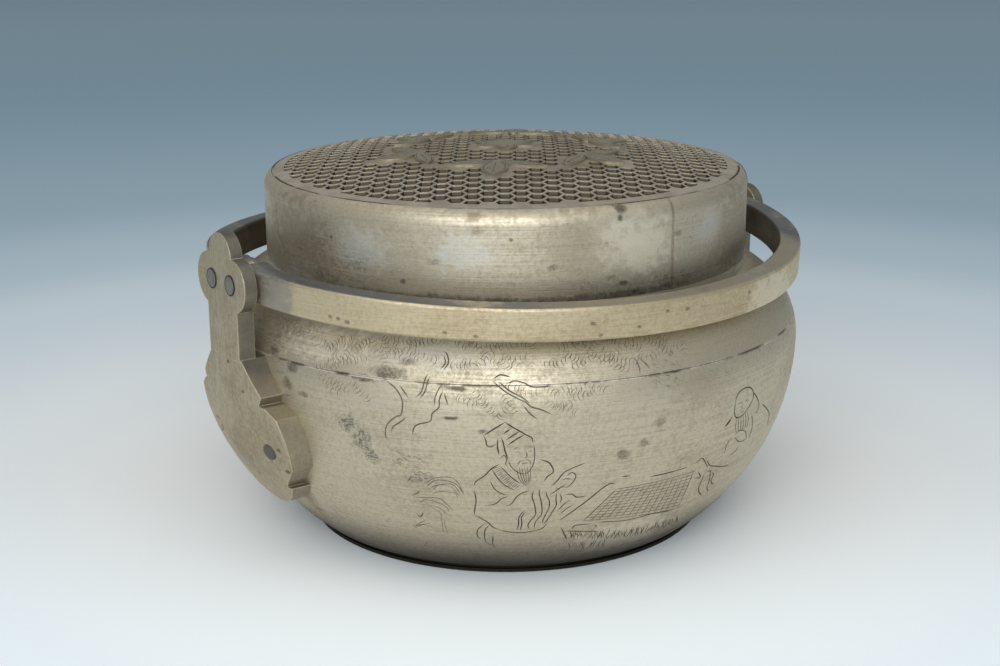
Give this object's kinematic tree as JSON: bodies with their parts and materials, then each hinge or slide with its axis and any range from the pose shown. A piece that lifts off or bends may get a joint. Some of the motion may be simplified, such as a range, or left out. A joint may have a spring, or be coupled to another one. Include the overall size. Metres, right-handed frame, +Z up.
{
  "type": "hand warmer",
  "caption": "Round squat metal hand warmer: a bowl with a domed honeycomb-pierced lift-off lid and half-hoop handles hinged on riveted side brackets.",
  "frame": {"origin": "on the table under the middle of the vessel", "axes": "+Z up, +X through the right bracket, -Y towards the front bail"},
  "size_m": [0.1652, 0.1528, 0.0971],
  "materials": {
    "shell_metal": "satin, rubbed, brown tarnish",
    "panel_metal": "satin, brown in the recesses",
    "cast_metal": "satin, filed",
    "pin_metal": "satin",
    "foot_metal": "dull, dark tarnish"
  },
  "bodies": {
    "vessel": {"base_plate": "foot_metal", "body_base": "shell_metal", "body_lower": "shell_metal", "body_shoulder": "shell_metal", "neck_collar": "shell_metal", "bracket_left": "cast_metal", "bracket_right": "cast_metal", "rivets_left": "pin_metal", "rivets_right": "pin_metal", "pin_front_left": "pin_metal", "pin_front_right": "pin_metal", "pin_rear_left": "pin_metal", "pin_rear_right": "pin_metal"},
    "lid": {"lid_band": "shell_metal", "lid_grille": "panel_metal", "lid_sprays": "panel_metal"},
    "front_handle": {"front_bail": "cast_metal"},
    "rear_handle": {"rear_bail": "cast_metal"}
  },
  "joints": [
    {"name": "lid_lift", "type": "slide", "parent": "vessel", "child": "lid", "axis": [0, 0, 1], "range_m": [0, 0.011]},
    {"name": "front_bail_swing", "type": "hinge", "parent": "vessel", "child": "front_handle", "pos_m": [0, -0.00475, 0.0721], "axis": [-1, 0, 0], "range_deg": [0, 93]},
    {"name": "rear_bail_swing", "type": "hinge", "parent": "vessel", "child": "rear_handle", "pos_m": [0, 0.00475, 0.0721], "axis": [1, 0, 0], "range_deg": [0, 93]}
  ]
}
